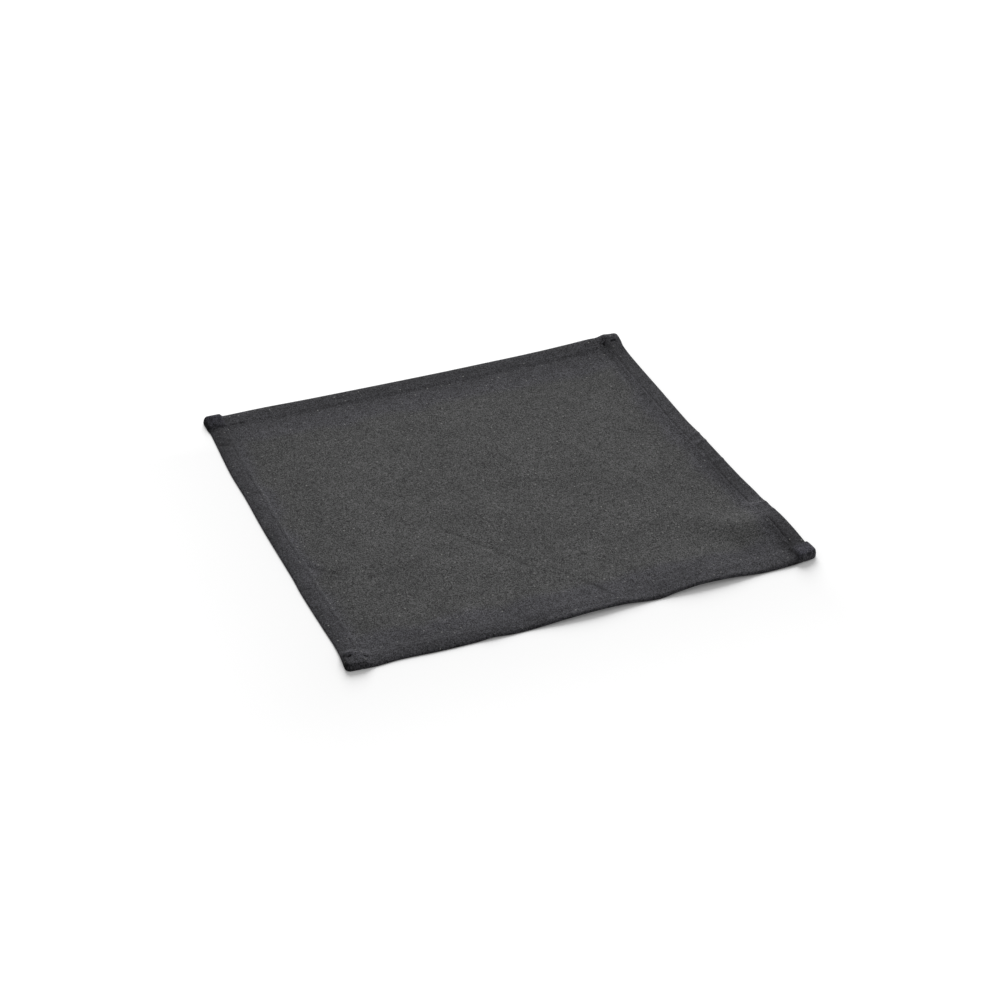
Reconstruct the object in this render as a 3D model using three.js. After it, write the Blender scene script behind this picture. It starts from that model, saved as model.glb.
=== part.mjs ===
// A hemmed cotton place mat, lying on a table.
// One cloth whose four edges are turned over twice and sewn down, so that the edges are three layers
// thick and the corners, where two hems cross, nine. The front edge waves a little off the table and
// the right front corner curls up.
//
// Millimetres. X runs along the front edge, Y towards the back edge, Z up, and the table is Z = 0.
// Every edge is measured from its left or front end, and "out" is away from the middle of the mat.

import * as THREE from 'three';

// Driving sizes
const WIDTH = 400; // between the corners, along X
const DEPTH = 387; // between the corners, along Y
const CLOTH = 1.0; // one layer
const HEM_THICK = 2.7; // three layers
const HEM_STEP = 0.9; // the inner fold's rounded face
const FOLD_RADIUS = 2.4; // how far in the outer fold's rounding reaches
const FOLD_FACE = 0.4; // share of the thickness that stays upright at the outer fold
const FOLD_UNDER = 0.25; // share of the rounding that is on the underside, which the table flattens
const CORNER_RADIUS = 4; // of the outline
const CELLS = { across: 30, along: 25 }; // between the hems
const BESIDE_HEM = [3, 9]; // grid lines this far inside a hem's inner fold
const CLOTH_COLOUR = '#4d4d4e';

// How far each edge stands out of the straight line between its corners, and how high it lifts.
// "hem" is its hem's width, from the outer fold to the inner one, and "reach" is how far in from the
// edge the lift dies away.
const FRONT = {
  hem: 16.3,
  reach: 42,
  rows: [
    { at: 0, out: 2.2, lift: 0 },
    { at: 22, out: 3.8, lift: 0 },
    { at: 42, out: 2.6, lift: 0 },
    { at: 75, out: 3.7, lift: 0 },
    { at: 104, out: 4.1, lift: 0.1 },
    { at: 118, out: 4.2, lift: 0.8 },
    { at: 134, out: 4.7, lift: 0.1 },
    { at: 148, out: 5.1, lift: 0 },
    { at: 178, out: 5.0, lift: 1.4 },
    { at: 204, out: 5.0, lift: 1.8 },
    { at: 230, out: 4.9, lift: 1.2 },
    { at: 257, out: 4.9, lift: 0 },
    { at: 276, out: 4.8, lift: 1.4 },
    { at: 295, out: 4.6, lift: 2.0 },
    { at: 322, out: 4.5, lift: 1.6 },
    { at: 348, out: 4.6, lift: 0 },
    { at: 376, out: 4.2, lift: 0.2 },
    { at: 400, out: 2.4, lift: 0.2 },
  ],
};
const BACK = {
  hem: 16,
  reach: 40,
  rows: [
    { at: 0, out: 0.6, lift: 0 },
    { at: 55, out: 1.4, lift: 0 },
    { at: 100, out: 0.3, lift: 0 },
    { at: 215, out: -0.3, lift: 0 },
    { at: 275, out: 0.5, lift: 0 },
    { at: 300, out: 0.6, lift: 0.2 },
    { at: 328, out: 0.4, lift: 1.0 },
    { at: 350, out: 0.4, lift: 1.9 },
    { at: 372, out: 0.4, lift: 2.4 },
    { at: 388, out: 0.2, lift: 0.6 },
    { at: 400, out: 0.0, lift: 0.2 },
  ],
};
const LEFT = {
  hem: 16.3,
  reach: 30,
  rows: [
    { at: 0, out: 0.6, lift: 0 },
    { at: 30, out: -1.0, lift: 0 },
    { at: 61, out: -0.1, lift: 0 },
    { at: 108, out: 1.2, lift: 0 },
    { at: 131, out: 0.9, lift: 0 },
    { at: 205, out: 2.0, lift: 0 },
    { at: 256, out: 1.6, lift: 0 },
    { at: 297, out: 2.2, lift: 0 },
    { at: 351, out: 0.1, lift: 0 },
    { at: 387, out: 0.6, lift: 0 },
  ],
};
const RIGHT = {
  hem: 15,
  reach: 72,
  rows: [
    { at: 0, out: 0.8, lift: 0.2 },
    { at: 24, out: 0.3, lift: 1.5 },
    { at: 42, out: 0.3, lift: 2.6 },
    { at: 60, out: -0.3, lift: 2.8 },
    { at: 74, out: -1.0, lift: 1.9 },
    { at: 92, out: -1.8, lift: 0.3 },
    { at: 104, out: -2.3, lift: 0 },
    { at: 130, out: -3.6, lift: 0 },
    { at: 190, out: -4.3, lift: 0 },
    { at: 207, out: -4.7, lift: 0 },
    { at: 226, out: -6.0, lift: 0 },
    { at: 285, out: -5.2, lift: 0 },
    { at: 331, out: -4.4, lift: 0 },
    { at: 366, out: -3.2, lift: 0.2 },
    { at: 387, out: -2.6, lift: 0.2 },
  ],
};

// The stack of folds at each corner, how far it slopes down into the front or back hem (alongX) and
// into the left or right hem (alongY), and how high the corner's tip curls up.
const CORNERS = [
  { side: LEFT, end: FRONT, thick: 6.4, alongX: 9, alongY: 9, curl: 0 },
  { side: RIGHT, end: FRONT, thick: 6.4, alongX: 9, alongY: 3, curl: 2.4 },
  { side: LEFT, end: BACK, thick: 6.7, alongX: 3, alongY: 3, curl: 0.2 },
  { side: RIGHT, end: BACK, thick: 6.8, alongX: 9, alongY: 9, curl: 0.8 },
];
const CURL_REACH = 26; // from the corner's tip

const { smoothstep, lerp } = THREE.MathUtils;

// One column of an edge's rows at a place along it, on a smooth curve through the rows.
function columnAt(rows, column, place) {
  const index = rows.findIndex((row, i) => i === rows.length - 2 || place < rows[i + 1].at);
  const slopeAt = (i) => {
    const before = rows[Math.max(i - 1, 0)];
    const after = rows[Math.min(i + 1, rows.length - 1)];
    return (after[column] - before[column]) / (after.at - before.at);
  };
  const start = rows[index];
  const stop = rows[index + 1];
  const span = stop.at - start.at;
  const t = (place - start.at) / span;
  const ease = t * t * (3 - 2 * t);
  return (
    lerp(start[column], stop[column], ease) +
    span * t * (1 - t) * ((1 - t) * slopeAt(index) - t * slopeAt(index + 1))
  );
}

// Distances in from an edge at which the grid has a line, in its hem and just inside it.
function hemLines({ hem }) {
  return [0, 0.9, FOLD_RADIUS, hem, hem + HEM_STEP, ...BESIDE_HEM.map((inside) => hem + inside)];
}

// Places of the grid's lines from one edge to the opposite one.
function gridLines(length, cells, nearEdge, farEdge) {
  const near = hemLines(nearEdge);
  const far = hemLines(farEdge).map((distance) => length - distance).reverse();
  const middle = [];
  for (let i = 1; i < cells; i += 1) middle.push(lerp(near.at(-1), far[0], i / cells));
  return [...near, ...middle, ...far];
}

// A place on the flat mat, x and y from its left front corner: how far it is in from the nearer side
// and end, with the outline's corner rounded, and which edges those are.
function placeOnMat(x, y) {
  const side = x < WIDTH / 2 ? LEFT : RIGHT;
  const end = y < DEPTH / 2 ? FRONT : BACK;
  const place = { side, end, fromSide: Math.min(x, WIDTH - x), fromEnd: Math.min(y, DEPTH - y) };
  const acrossCorner = CORNER_RADIUS - place.fromSide;
  const alongCorner = CORNER_RADIUS - place.fromEnd;
  if (acrossCorner > 0 && alongCorner > 0) {
    const pull = Math.max(acrossCorner, alongCorner) / Math.hypot(acrossCorner, alongCorner);
    place.fromSide = CORNER_RADIUS - acrossCorner * pull;
    place.fromEnd = CORNER_RADIUS - alongCorner * pull;
  }
  return place;
}

const cornerOf = ({ side, end }) => CORNERS.find((each) => each.side === side && each.end === end);

// Thickness of the cloth: one layer, three in a hem, a stack of them in a corner.
function thicknessAt(place) {
  const { side, end, fromSide, fromEnd } = place;
  const within = (distance, hem, slope) => 1 - smoothstep(distance, hem, hem + slope);
  const corner = cornerOf(place);
  const stack = within(fromSide, side.hem, corner.alongX) * within(fromEnd, end.hem, corner.alongY);
  const hem = Math.max(within(fromSide, side.hem, HEM_STEP), within(fromEnd, end.hem, HEM_STEP));
  return CLOTH + (HEM_THICK - CLOTH) * hem + (corner.thick - HEM_THICK) * stack;
}

// Height of the underside over the table: the higher of what the two nearer edges lift it to, and
// the corner's curl.
function liftAt(x, y, place) {
  const { side, end, fromSide, fromEnd } = place;
  const fading = (distance, reach) => 1 - smoothstep(distance, 0, reach);
  const sideLift = columnAt(side.rows, 'lift', y) * fading(fromSide, side.reach);
  const endLift = columnAt(end.rows, 'lift', x) * fading(fromEnd, end.reach);
  const curl = cornerOf(place).curl * fading(Math.hypot(fromSide, fromEnd), CURL_REACH);
  return Math.max(0, sideLift, endLift) + curl;
}

// The points of the upper and the lower face over one place on the flat mat.
function facesAt(x, y) {
  const place = placeOnMat(x, y);
  const rightShare = x / WIDTH;
  const backShare = y / DEPTH;
  const roundedX = place.side === LEFT ? place.fromSide : WIDTH - place.fromSide;
  const roundedY = place.end === FRONT ? place.fromEnd : DEPTH - place.fromEnd;
  const outAt = (edge, along) => columnAt(edge.rows, 'out', along);
  const pointX = roundedX + lerp(-outAt(LEFT, y), outAt(RIGHT, y), rightShare);
  const pointY = roundedY + lerp(-outAt(FRONT, x), outAt(BACK, x), backShare);
  const thick = thicknessAt(place);
  const fromEdge = Math.min(x, WIDTH - x, y, DEPTH - y);
  const inward = 1 - Math.min(fromEdge / FOLD_RADIUS, 1);
  const rounding = thick * (1 - FOLD_FACE) * (1 - Math.sqrt(1 - inward * inward));
  const underside = liftAt(x, y, place);
  return {
    upper: [pointX, pointY, underside + thick - rounding * (1 - FOLD_UNDER)],
    lower: [pointX, pointY, underside + rounding * FOLD_UNDER],
  };
}

// The closed skin of the mat: an upper and a lower grid, joined along the outer fold.
function matGeometry() {
  const across = gridLines(WIDTH, CELLS.across, LEFT, RIGHT);
  const along = gridLines(DEPTH, CELLS.along, FRONT, BACK);
  const columns = across.length;
  const upper = [];
  const lower = [];
  for (const y of along) {
    for (const x of across) {
      const faces = facesAt(x, y);
      upper.push(...faces.upper);
      lower.push(...faces.lower);
    }
  }
  const count = columns * along.length;
  const above = (i, j) => j * columns + i;
  const below = (i, j) => count + above(i, j);
  const triangles = [];
  const quad = (a, b, c, d) => triangles.push(a, b, c, a, c, d);
  for (let j = 0; j < along.length - 1; j += 1) {
    for (let i = 0; i < columns - 1; i += 1) {
      quad(above(i, j), above(i + 1, j), above(i + 1, j + 1), above(i, j + 1));
      quad(below(i, j), below(i, j + 1), below(i + 1, j + 1), below(i + 1, j));
    }
  }
  const right = columns - 1;
  const back = along.length - 1;
  for (let i = 0; i < right; i += 1) {
    quad(below(i, 0), below(i + 1, 0), above(i + 1, 0), above(i, 0));
    quad(below(i + 1, back), below(i, back), above(i, back), above(i + 1, back));
  }
  for (let j = 0; j < back; j += 1) {
    quad(below(0, j + 1), below(0, j), above(0, j), above(0, j + 1));
    quad(below(right, j), below(right, j + 1), above(right, j + 1), above(right, j));
  }
  const geometry = new THREE.BufferGeometry();
  geometry.setAttribute('position', new THREE.Float32BufferAttribute([...upper, ...lower], 3));
  geometry.setIndex(triangles);
  geometry.computeVertexNormals();
  return geometry;
}

const matCloth = new THREE.Mesh(
  matGeometry(),
  new THREE.MeshStandardMaterial({ color: CLOTH_COLOUR, roughness: 0.95, metalness: 0 }),
);
matCloth.name = 'mat_cloth';

// The origin is on the table, under the middle of the mat.
const size = new THREE.Box3().setFromObject(matCloth);
const centre = size.getCenter(new THREE.Vector3());
matCloth.position.set(-centre.x, -centre.y, -size.min.z);

const group = new THREE.Group();
group.add(matCloth);
export default group;
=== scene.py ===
import math

import bpy
import numpy as np
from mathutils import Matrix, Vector


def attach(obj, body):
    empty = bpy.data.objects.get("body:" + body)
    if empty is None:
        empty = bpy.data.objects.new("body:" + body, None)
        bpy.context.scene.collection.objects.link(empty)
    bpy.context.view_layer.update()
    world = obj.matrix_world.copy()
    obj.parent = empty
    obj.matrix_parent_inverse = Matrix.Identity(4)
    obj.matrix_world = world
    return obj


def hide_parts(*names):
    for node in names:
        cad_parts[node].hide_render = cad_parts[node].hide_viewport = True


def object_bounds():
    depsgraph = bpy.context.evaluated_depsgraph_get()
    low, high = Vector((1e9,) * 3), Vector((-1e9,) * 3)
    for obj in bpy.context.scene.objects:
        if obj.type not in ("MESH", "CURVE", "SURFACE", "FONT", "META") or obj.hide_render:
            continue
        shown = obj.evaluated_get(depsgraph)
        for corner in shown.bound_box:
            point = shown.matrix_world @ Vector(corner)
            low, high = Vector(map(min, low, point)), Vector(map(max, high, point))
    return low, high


# A hemmed cotton place mat on a table, seen from its left front corner.
# Its four edges are turned over twice onto the face that shows and sewn down, so the hems are three
# layers thick and the corner stacks nine.
#
# The mat's own sizes are in millimetres. x runs along the front edge and y towards the back edge,
# both from the left front corner, and heights are over the table. mm turns them into metres.

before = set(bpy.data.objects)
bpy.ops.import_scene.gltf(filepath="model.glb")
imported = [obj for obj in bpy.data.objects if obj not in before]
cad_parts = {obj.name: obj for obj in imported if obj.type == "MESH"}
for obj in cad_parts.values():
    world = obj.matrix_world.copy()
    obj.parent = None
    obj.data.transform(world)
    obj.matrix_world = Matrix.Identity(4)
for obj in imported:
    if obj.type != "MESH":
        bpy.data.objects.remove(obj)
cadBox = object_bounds()
mm = 0.001

mat = {
    "width": 400,  # between the corners
    "depth": 387,
    "cloth": 1.0,  # one layer
    "hemThick": 2.7,  # three layers
    "hemPuff": 0.25,  # what the hem's crown stands up over three flat layers
    "foldRadius": 2.4,  # how far in the outer fold's rounding reaches
    "foldFace": 0.4,  # share of the thickness that stays upright at the outer fold
    "foldUnder": 0.25,  # share of the rounding that is on the underside
    "foldBulge": 0.3,  # how far the outer fold swells out between its top and its underside
    "foldRows": (0.12, 0.28, 0.42, 0.58, 0.72, 0.88, 1),  # shares of the way down
    "layerBulge": 0.45,  # the same for each of the three folds at a corner's end
    "layerNotch": 0.3,  # share of it that is cut in between them
    "layersFrom": 1.2,  # a corner's height over the hems from which they show
    "layersFull": 3.6,
    "stackFold": 0.45,  # share of a corner stack's height that its outer fold rounds off
    "stackRadius": 9,  # how far in the rounding of its top reaches
    "curlReach": 26,  # from a corner's tip
    "grooveWidth": 0.6,
    "underGroove": 0.45,  # what the stitches pull the underside up by
    "puckerIn": 2,  # how far out from the stitches the puckers are highest
    "puckerWidth": 6.5,
    "gathers": ((4.2, 0.3, 0), (9, 0.2, 50)),  # their size, how much it counts across, and a seed
    "swellReach": 32,  # how far in from a hem the cloth beside it swells up
    "panelFrom": 10,  # how far in the panel's hills start, and are full
    "panelFull": 45,
    "rippleFull": 25,  # the same for the ripples
    "panelRise": 0.35,  # how far the panel stands off the table between its hills and hollows
    "panelSpacing": 1.9,  # of the grid between the hems
    "crownLines": 13,  # of the grid over a hem's crown
    "slopeLines": 11,  # and over its inner fold
    "toneFade": 10,  # how softly a hem's dark ends
    "foldBlue": 0.3,  # how blue the hems are
    "blueEdge": 7,  # how soft the end of the blue beside them is
    "blueWander": 5,  # how far it comes and goes
    "blueApart": 23,  # and how far apart
}

# Each edge: the hem's width, how far in its stitches are, how high it is at its outer and its inner
# fold (shares), how far the inner fold slopes, the swell of the cloth beside it, the depth of the
# stitches' groove, how far in its lift reaches, how much darker its outer fold is, how dark and wide
# the wash left the band beside it, and how far in its blue goes.
edges = {
    "front": {
        "hem": 16.3, "stitch": 13.6, "outer": 0.27, "inner": 0.83, "slope": 10.5, "swell": 0.7,
        "groove": 0.2, "reach": 60, "outerDark": 0, "bandDark": 1.05, "bandWidth": 15.5,
        "blueTo": 36, "seed": 11,
    },
    "back": {
        "hem": 17.5, "stitch": 13, "outer": 1.0, "inner": 0.62, "slope": 9.5, "swell": 0,
        "groove": 0.15, "reach": 40, "outerDark": 0.1, "bandDark": 1.12, "bandWidth": 28,
        "blueTo": 52, "seed": 12,
    },
    "left": {
        "hem": 15.4, "stitch": 12.3, "outer": 0.4, "inner": 0.82, "slope": 4.2, "swell": 0,
        "groove": 0.3, "reach": 30, "outerDark": 0.26, "bandDark": 0.45, "bandWidth": 28,
        "blueTo": 20.5, "seed": 13,
    },
    "right": {
        "hem": 16, "stitch": 13.9, "outer": 0.95, "inner": 0.94, "slope": 13, "swell": 0.6,
        "groove": 0.32, "reach": 72, "outerDark": 0, "bandDark": 0.75, "bandWidth": 10,
        "blueTo": 26, "seed": 14,
    },
}

# Places along each edge: where, how far the edge stands out of a straight line between its corners,
# how high it lifts, how far in its crown is, how flat it is pressed, how puckered and how dark it is.
rowColumns = ("at", "out", "lift", "crown", "pressed", "pucker", "dark")
edgeRows = {
    "front": (
        (0, 1.6, 0, 10, 0, 0.1, 0.95),
        (22, 2.9, 0, 10, 0, 0.2, 0.84),
        (42, 1.7, 0, 10, 0, 0.3, 1.0),
        (75, 3.3, 0, 10, 0, 0.3, 1.05),
        (104, 3.5, 0.1, 10, 0, 0.2, 1.08),
        (118, 3.5, 1.1, 8, 0.2, 0.2, 1.05),
        (134, 4.4, 0.2, 7, 0.2, 0.2, 1),
        (148, 4.3, 0.1, 5.6, 0.25, 0.2, 0.95),
        (178, 4.4, 2.2, 3.2, 0.45, 0.15, 0.62),
        (204, 4.2, 3.2, 3, 0.5, 0.15, 0.55),
        (230, 3.5, 2.2, 3.2, 0.45, 0.2, 0.68),
        (257, 4.8, 0.2, 3.8, 0.3, 0.2, 0.88),
        (276, 3.8, 2.1, 3, 0.4, 0.2, 0.88),
        (295, 3.4, 3.6, 3, 0.5, 0.2, 0.8),
        (322, 3.6, 2.9, 3, 0.5, 0.2, 0.62),
        (348, 4.1, 0.5, 3.2, 0.4, 0.2, 0.64),
        (376, 3.8, 0.2, 6, 0.1, 0.2, 0.6),
        (388, 2.8, 0.2, 8, 0, 0.1, 0.58),
        (400, 0.6, 0.2, 10, 0, 0.1, 0.7),
    ),
    "back": (
        (0, 0.6, 0, 5, 0, 0.1, 1),
        (25, 1.0, 0, 5, 0, 0.15, 0.88),
        (55, 1.4, 0, 5, 0, 0.15, 1),
        (100, 0.3, 0, 5, 0, 0.15, 1),
        (215, -0.3, 0, 5, 0, 0.15, 1),
        (275, 0.5, 0, 5, 0, 0.15, 1),
        (300, 0.6, 0.2, 5, 0, 0.15, 1),
        (328, 0.4, 1.0, 5, 0, 0.15, 1),
        (350, 0.4, 1.9, 5, 0, 0.15, 0.95),
        (372, 0.5, 2.4, 5, 0, 0.1, 0.92),
        (388, 0.7, 0.8, 5, 0, 0.1, 0.85),
        (400, 0.6, 0.2, 5, 0, 0.1, 0.8),
    ),
    "left": (
        (0, 0.9, 0, 9, 0, 0.1, 1.1),
        (30, -1.2, 0, 9, 0, 0.15, 0.9),
        (61, -0.3, 0, 9, 0, 0.2, 0.86),
        (108, 1.0, 0, 9, 0, 0.2, 0.84),
        (131, 0.7, 0, 9, 0, 0.2, 0.84),
        (205, 1.8, 0, 9, 0, 0.2, 0.86),
        (256, 1.4, 0, 9, 0, 0.2, 0.86),
        (297, 2.0, 0, 9, 0, 0.25, 0.92),
        (351, -0.1, 0, 9, 0, 0.5, 1.3),
        (365, -0.4, 0, 9, 0, 0.4, 1.3),
        (371, 0.4, 0, 9, 0, 0.2, 1.18),
        (387, 0.4, 0, 9, 0, 0.2, 1.1),
    ),
    "right": (
        (0, 1.0, 0.2, 5, 0, 0.1, 0.9),
        (9, 1.5, 0.4, 5, 0, 0.1, 1.2),
        (15, 1.1, 0.5, 5, 0, 0.1, 1.4),
        (19, 0.4, 0.6, 5, 0, 0.1, 1.7),
        (24, 0.4, 0.9, 5, 0, 0.2, 1.65),
        (42, 0.6, 2.0, 5, 0, 0.2, 1.3),
        (60, -0.5, 3.1, 5, 0, 0.2, 1.2),
        (74, -1.7, 2.6, 5, 0, 0.2, 0.62),
        (92, -2.1, 0.8, 5, 0, 0.2, 0.62),
        (104, -2.1, 0.4, 5, 0, 0.2, 1.05),
        (130, -3.3, 0.1, 5, 0, 0.2, 1.23),
        (190, -4.2, 0, 5, 0, 0.2, 1.02),
        (207, -4.6, 0, 5, 0, 0.2, 0.8),
        (226, -5.5, 0, 5, 0, 0.2, 0.8),
        (285, -4.7, 0, 5, 0, 0.2, 0.88),
        (331, -4.2, 0, 5, 0, 0.2, 1.15),
        (366, -3.1, 0.2, 5, 0, 0.2, 1.5),
        (376, -1.3, 0.2, 5, 0, 0.1, 1.2),
        (387, -0.6, 0.2, 5, 0, 0.1, 1),
    ),
}

# Each corner's stack: its thickness, how far past the side hem its top runs on (full), how far it
# slopes down along the end hem (alongX) and the side hem (alongY), the share that drops at once
# (drop) and how far past the hem (dropAt), the share lost across the hem (tilt) and to the rounding
# of its edge (rounded), the tip's curl, the outline's radius and how much bluer it is.
stacks = {
    ("left", "front"): {
        "thick": 6.4, "full": -2.5, "alongX": 9, "alongY": 9, "drop": 0.3, "dropAt": 4.2,
        "tilt": 0, "rounded": 0.2, "curl": 0, "radius": 4, "blue": 0.05,
    },
    ("right", "front"): {
        "thick": 7.6, "full": -2.5, "alongX": 6, "alongY": 4, "drop": 0.7, "dropAt": 1.1,
        "tilt": 0.4, "rounded": 0.15, "curl": 0.3, "radius": 4.6, "blue": 0.45,
    },
    ("left", "back"): {
        "thick": 7.5, "full": -1, "alongX": 3.5, "alongY": 4.5, "drop": 0.4, "dropAt": 0.3,
        "tilt": 0.55, "rounded": 0.5, "curl": 0.2, "radius": 4, "blue": 0.6,
    },
    ("right", "back"): {
        "thick": 7.4, "full": -2.5, "alongX": 8, "alongY": 22, "drop": 0.1, "dropAt": 0,
        "tilt": 0.55, "rounded": 0.5, "curl": 0.6, "radius": 5, "blue": 0.08,
    },
}

# Lines on the mat: x and y of two or more points, then half the width, the height, which is below
# zero in a trough, and how dark they are painted: mostly painted shade in troughs, creases, valleys
# and the mouths of the folds, and below zero lighter, mostly a painted highlight on ridges and lips.
# They are ripples of the whole cloth, creases in its face, tucks in its hems, and the open mouths of
# its folds at the corners, with ends that fade out over rippleEnd, lineEnd and mouthEnd.
lineEnd, rippleEnd, mouthEnd = 3, 14, 0.8
ripples = (
    (334, 92, 350, 64, 16, 1.9, 0),
    (346, 62, 404, 57, 20, 3.4, 0),
    (284, 263, 295, 222, 3, 0.35, -0.1),
    (295, 222, 309.5, 182, 3, 0.35, -0.11),
    (309.5, 182, 322, 150, 3, 0.35, -0.1),
    (322, 150, 335, 114, 3, 0.3, -0.08),
    (335, 290, 353, 238, 6, 0.55, 0),
    (350, 48, 404, 40, 12, 0, 0.04),
    (338, 52, 374, 46, 9, 0, 0.08),
    (343, 164, 366, 162, 6, 0, 0.12),
    (366, 152, 390, 150, 8, 0, 0.22),
    (105, 42, 165, 47, 13, 0, -0.07),
    (366, 90, 372, 70, 9, 0, -0.06),
    (375, 150, 385, 115, 9, 0, 0.09),
)
creases = (
    (136, 153, 167, 103, 1.5, -0.42, 0.3),
    (167, 103, 195, 58, 1.8, -0.3, 0.18),
    (195.2, 75.6, 214, 34, 1.5, -0.4, 0.3),
    (210.3, 49, 224.2, 13, 1.6, -0.4, 0.42),
    (16.4, 143.6, 37.2, 120.1, 1.6, -0.5, 0.45),
    (119, 281.6, 124, 266.6, 1.8, -0.18, 0),
    (124, 266.6, 143, 230.4, 2, -0.2, 0),
    (171.6, 206.6, 176.6, 181.6, 1.7, -0.35, 0.3),
    (214.1, 95.4, 231.6, 74.1, 2, -0.16, 0),
    (176.6, 89.1, 180.4, 76.6, 1.7, -0.3, 0.25),
    (2.8, 350.4, 8.3, 346.8, 1.7, -0.6, 0.4),
    (9.7, 345.4, 14, 344.4, 1.6, -0.4, 0.3),
    (1.5, 342, 10.6, 337.4, 2, -0.8, 0.55),
    (3, 358, 11, 355, 1.6, -0.4, 0.25),
)
tucks = (
    (383, 83.5, 401, 82, 3.6, 0.9, 0),
    (390, 70, 401, 69, 2.2, 0.5, 0),
    (384.2, 54, 385.6, 25, 1.1, 0.4, -0.6),
    (386.8, 57.5, 386.7, 40.5, 0.8, -0.45, 0.6),
    (386.7, 40.5, 387.8, 23.5, 0.8, -0.45, 0.6),
    (0.7, 17.2, 6.1, 15, 1.25, 0.5, -0.8),
    (6.1, 15, 13.3, 12.8, 1.25, 0.4, -0.8),
    (19.5, 13.6, 25.3, 15.1, 1, 0.3, -0.25),
    (384, 379.8, 385.7, 368.8, 0.7, 0.4, -0.15),
    (386.3, 378.7, 388, 371.8, 0.7, 0.3, -0.1),
    # a painted highlight along the lip of the right hem's inner fold, and painted shade in the stitch groove
    # beside it
    (386.2, 64, 384.5, 97, 384.6, 122, 386.2, 172, 384.9, 247, 385.3, 322, 384.6, 352, 0.9, 0.16, -0.38),
    (386.4, 90, 386.4, 122, 388.2, 172, 386.9, 222, 387, 352, 0.8, -0.16, 0.24),
    (383.4, 318, 382, 352, 1, -0.1, 0.16),
    (386.8, 203, 401, 204.5, 1.5, 0.7, -0.1),
    (386.5, 190.8, 401, 191.8, 1.7, 0.8, -0.7),
    (387.5, 186, 394, 187, 1.7, -0.2, 0.15),
    (387.3, 158.2, 401, 159.4, 1.7, 0.7, -0.5),
    (388.6, 155, 396, 153.5, 1.7, -0.2, 0.3),
    (384, 86, 397, 84.4, 1.6, 0.4, -0.6),
    (14.5, 361.5, 13, 350.8, 1.5, -0.2, 0.2),
)
mouths = (
    (4, 10.5, 7.2, 11.9, 0.6, -1.8, 1),
    (15.9, 9.1, 18.9, 8.2, 0.6, -1.2, 0.85),
    (43.1, 14.4, 47.3, 13.6, 0.7, -0.5, 0.6),
    (0.5, 12.6, 3.6, 11.2, 1.3, -0.3, 0.6),
    (0.4, 0.5, 0.4, 8.5, 1.8, 0, 1),
    (389, 374, 393.6, 374.3, 0.6, -3.2, 1),
    (382.2, 381.3, 381.7, 376.6, 0.7, -0.5, 0.4),
    (381.3, 374.4, 382.4, 370.8, 1, -1.3, 1),
    (382.2, 369.5, 385.6, 365, 1.6, -0.4, 0.25),
    (0.4, 386, 0.4, 369, 1.3, 0, 0.7),
    (0.8, 372.5, 1.4, 369.3, 0.9, -0.7, 0.55),
    (5.2, 372.8, 6.8, 369.5, 0.9, -0.6, 0.4),
    (17.6, 380, 18, 371.5, 0.8, -0.4, 0.25),
    (22.5, 371, 27.5, 370.2, 0.7, -0.6, 0.55),
    (28.5, 370.4, 34, 370.5, 0.7, -0.6, 0.65),
    (383, 18.5, 381.7, 12.5, 1.3, -0.9, 0.7),
    (381.7, 12.5, 382, 1, 1.2, -0.7, 0.42),
    (377, 18, 379, 0, 8, 0, 0.3),
    (386, 0.3, 399, 0.3, 2.5, 0, -0.35),
)

# Low hills and hollows of the panel: x, y, radius and height. Then its soft unevenness: height, size
# and seed.
hills = (
    (140, 228, 22, 0.9),
    (172, 163, 20, 0.8),
    (276, 208, 26, 0.6),
    (283, 280, 24, -0.35),
    (228, 82, 20, -0.35),
    (50, 331, 22, 0.7),
    (140, 28, 20, 0.35),
    (95, 300, 22, 0.5),
)
waves = ((0.25, 41, 3), (0.14, 19, 4), (0.05, 9, 5))


def connect(tree, value, socket):
    # a socket is linked, and anything else is set
    if isinstance(value, bpy.types.NodeSocket):
        tree.links.new(value, socket)
    else:
        socket.default_value = value


def addNode(tree, kind, inputs=(), **settings):
    node = tree.nodes.new(kind)
    for name, value in settings.items():
        setattr(node, name, value)
    for name, value in dict(inputs).items():
        connect(tree, value, node.inputs[name])
    return node


def maths(tree, operation, *values):
    node = addNode(tree, "ShaderNodeMath", enumerate(values), operation=operation)
    return node.outputs[0]


def times(tree, first, second):
    return maths(tree, "MULTIPLY", first, second)


def plus(tree, first, second):
    return maths(tree, "ADD", first, second)


def minus(tree, first, second):
    return maths(tree, "SUBTRACT", first, second)


def vectorMaths(tree, operation, *values):
    node = addNode(tree, "ShaderNodeVectorMath", enumerate(values), operation=operation)
    return node.outputs[0]


def scaled(tree, vector, factor):
    inputs = {0: vector, "Scale": factor}
    return addNode(tree, "ShaderNodeVectorMath", inputs, operation="SCALE").outputs[0]


def addObject(name, data):
    piece = bpy.data.objects.new(name, data)
    bpy.context.scene.collection.objects.link(piece)
    return piece


def smoothStep(value, low, high):
    t = np.clip((value - low) / (high - low), 0, 1)
    return t * t * (3 - 2 * t)


def fadeOut(value, low, high):
    return 1 - smoothStep(value, low, high)


def bell(value, width):
    return np.exp(-((value / width) ** 2))


def softNoise(x, y, cell, seed):
    # smooth hills and hollows from -1 to 1, about a cell apart
    lattice = np.random.default_rng(seed).uniform(-1, 1, (64, 64))
    column, row = np.floor(x / cell).astype(int), np.floor(y / cell).astype(int)
    s, t = smoothStep(x / cell - column, 0, 1), smoothStep(y / cell - row, 0, 1)
    knot = lambda i, j: lattice[(row + j) % 64, (column + i) % 64]
    low = knot(0, 0) * (1 - s) + knot(1, 0) * s
    high = knot(0, 1) * (1 - s) + knot(1, 1) * s
    return low * (1 - t) + high * t


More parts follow.
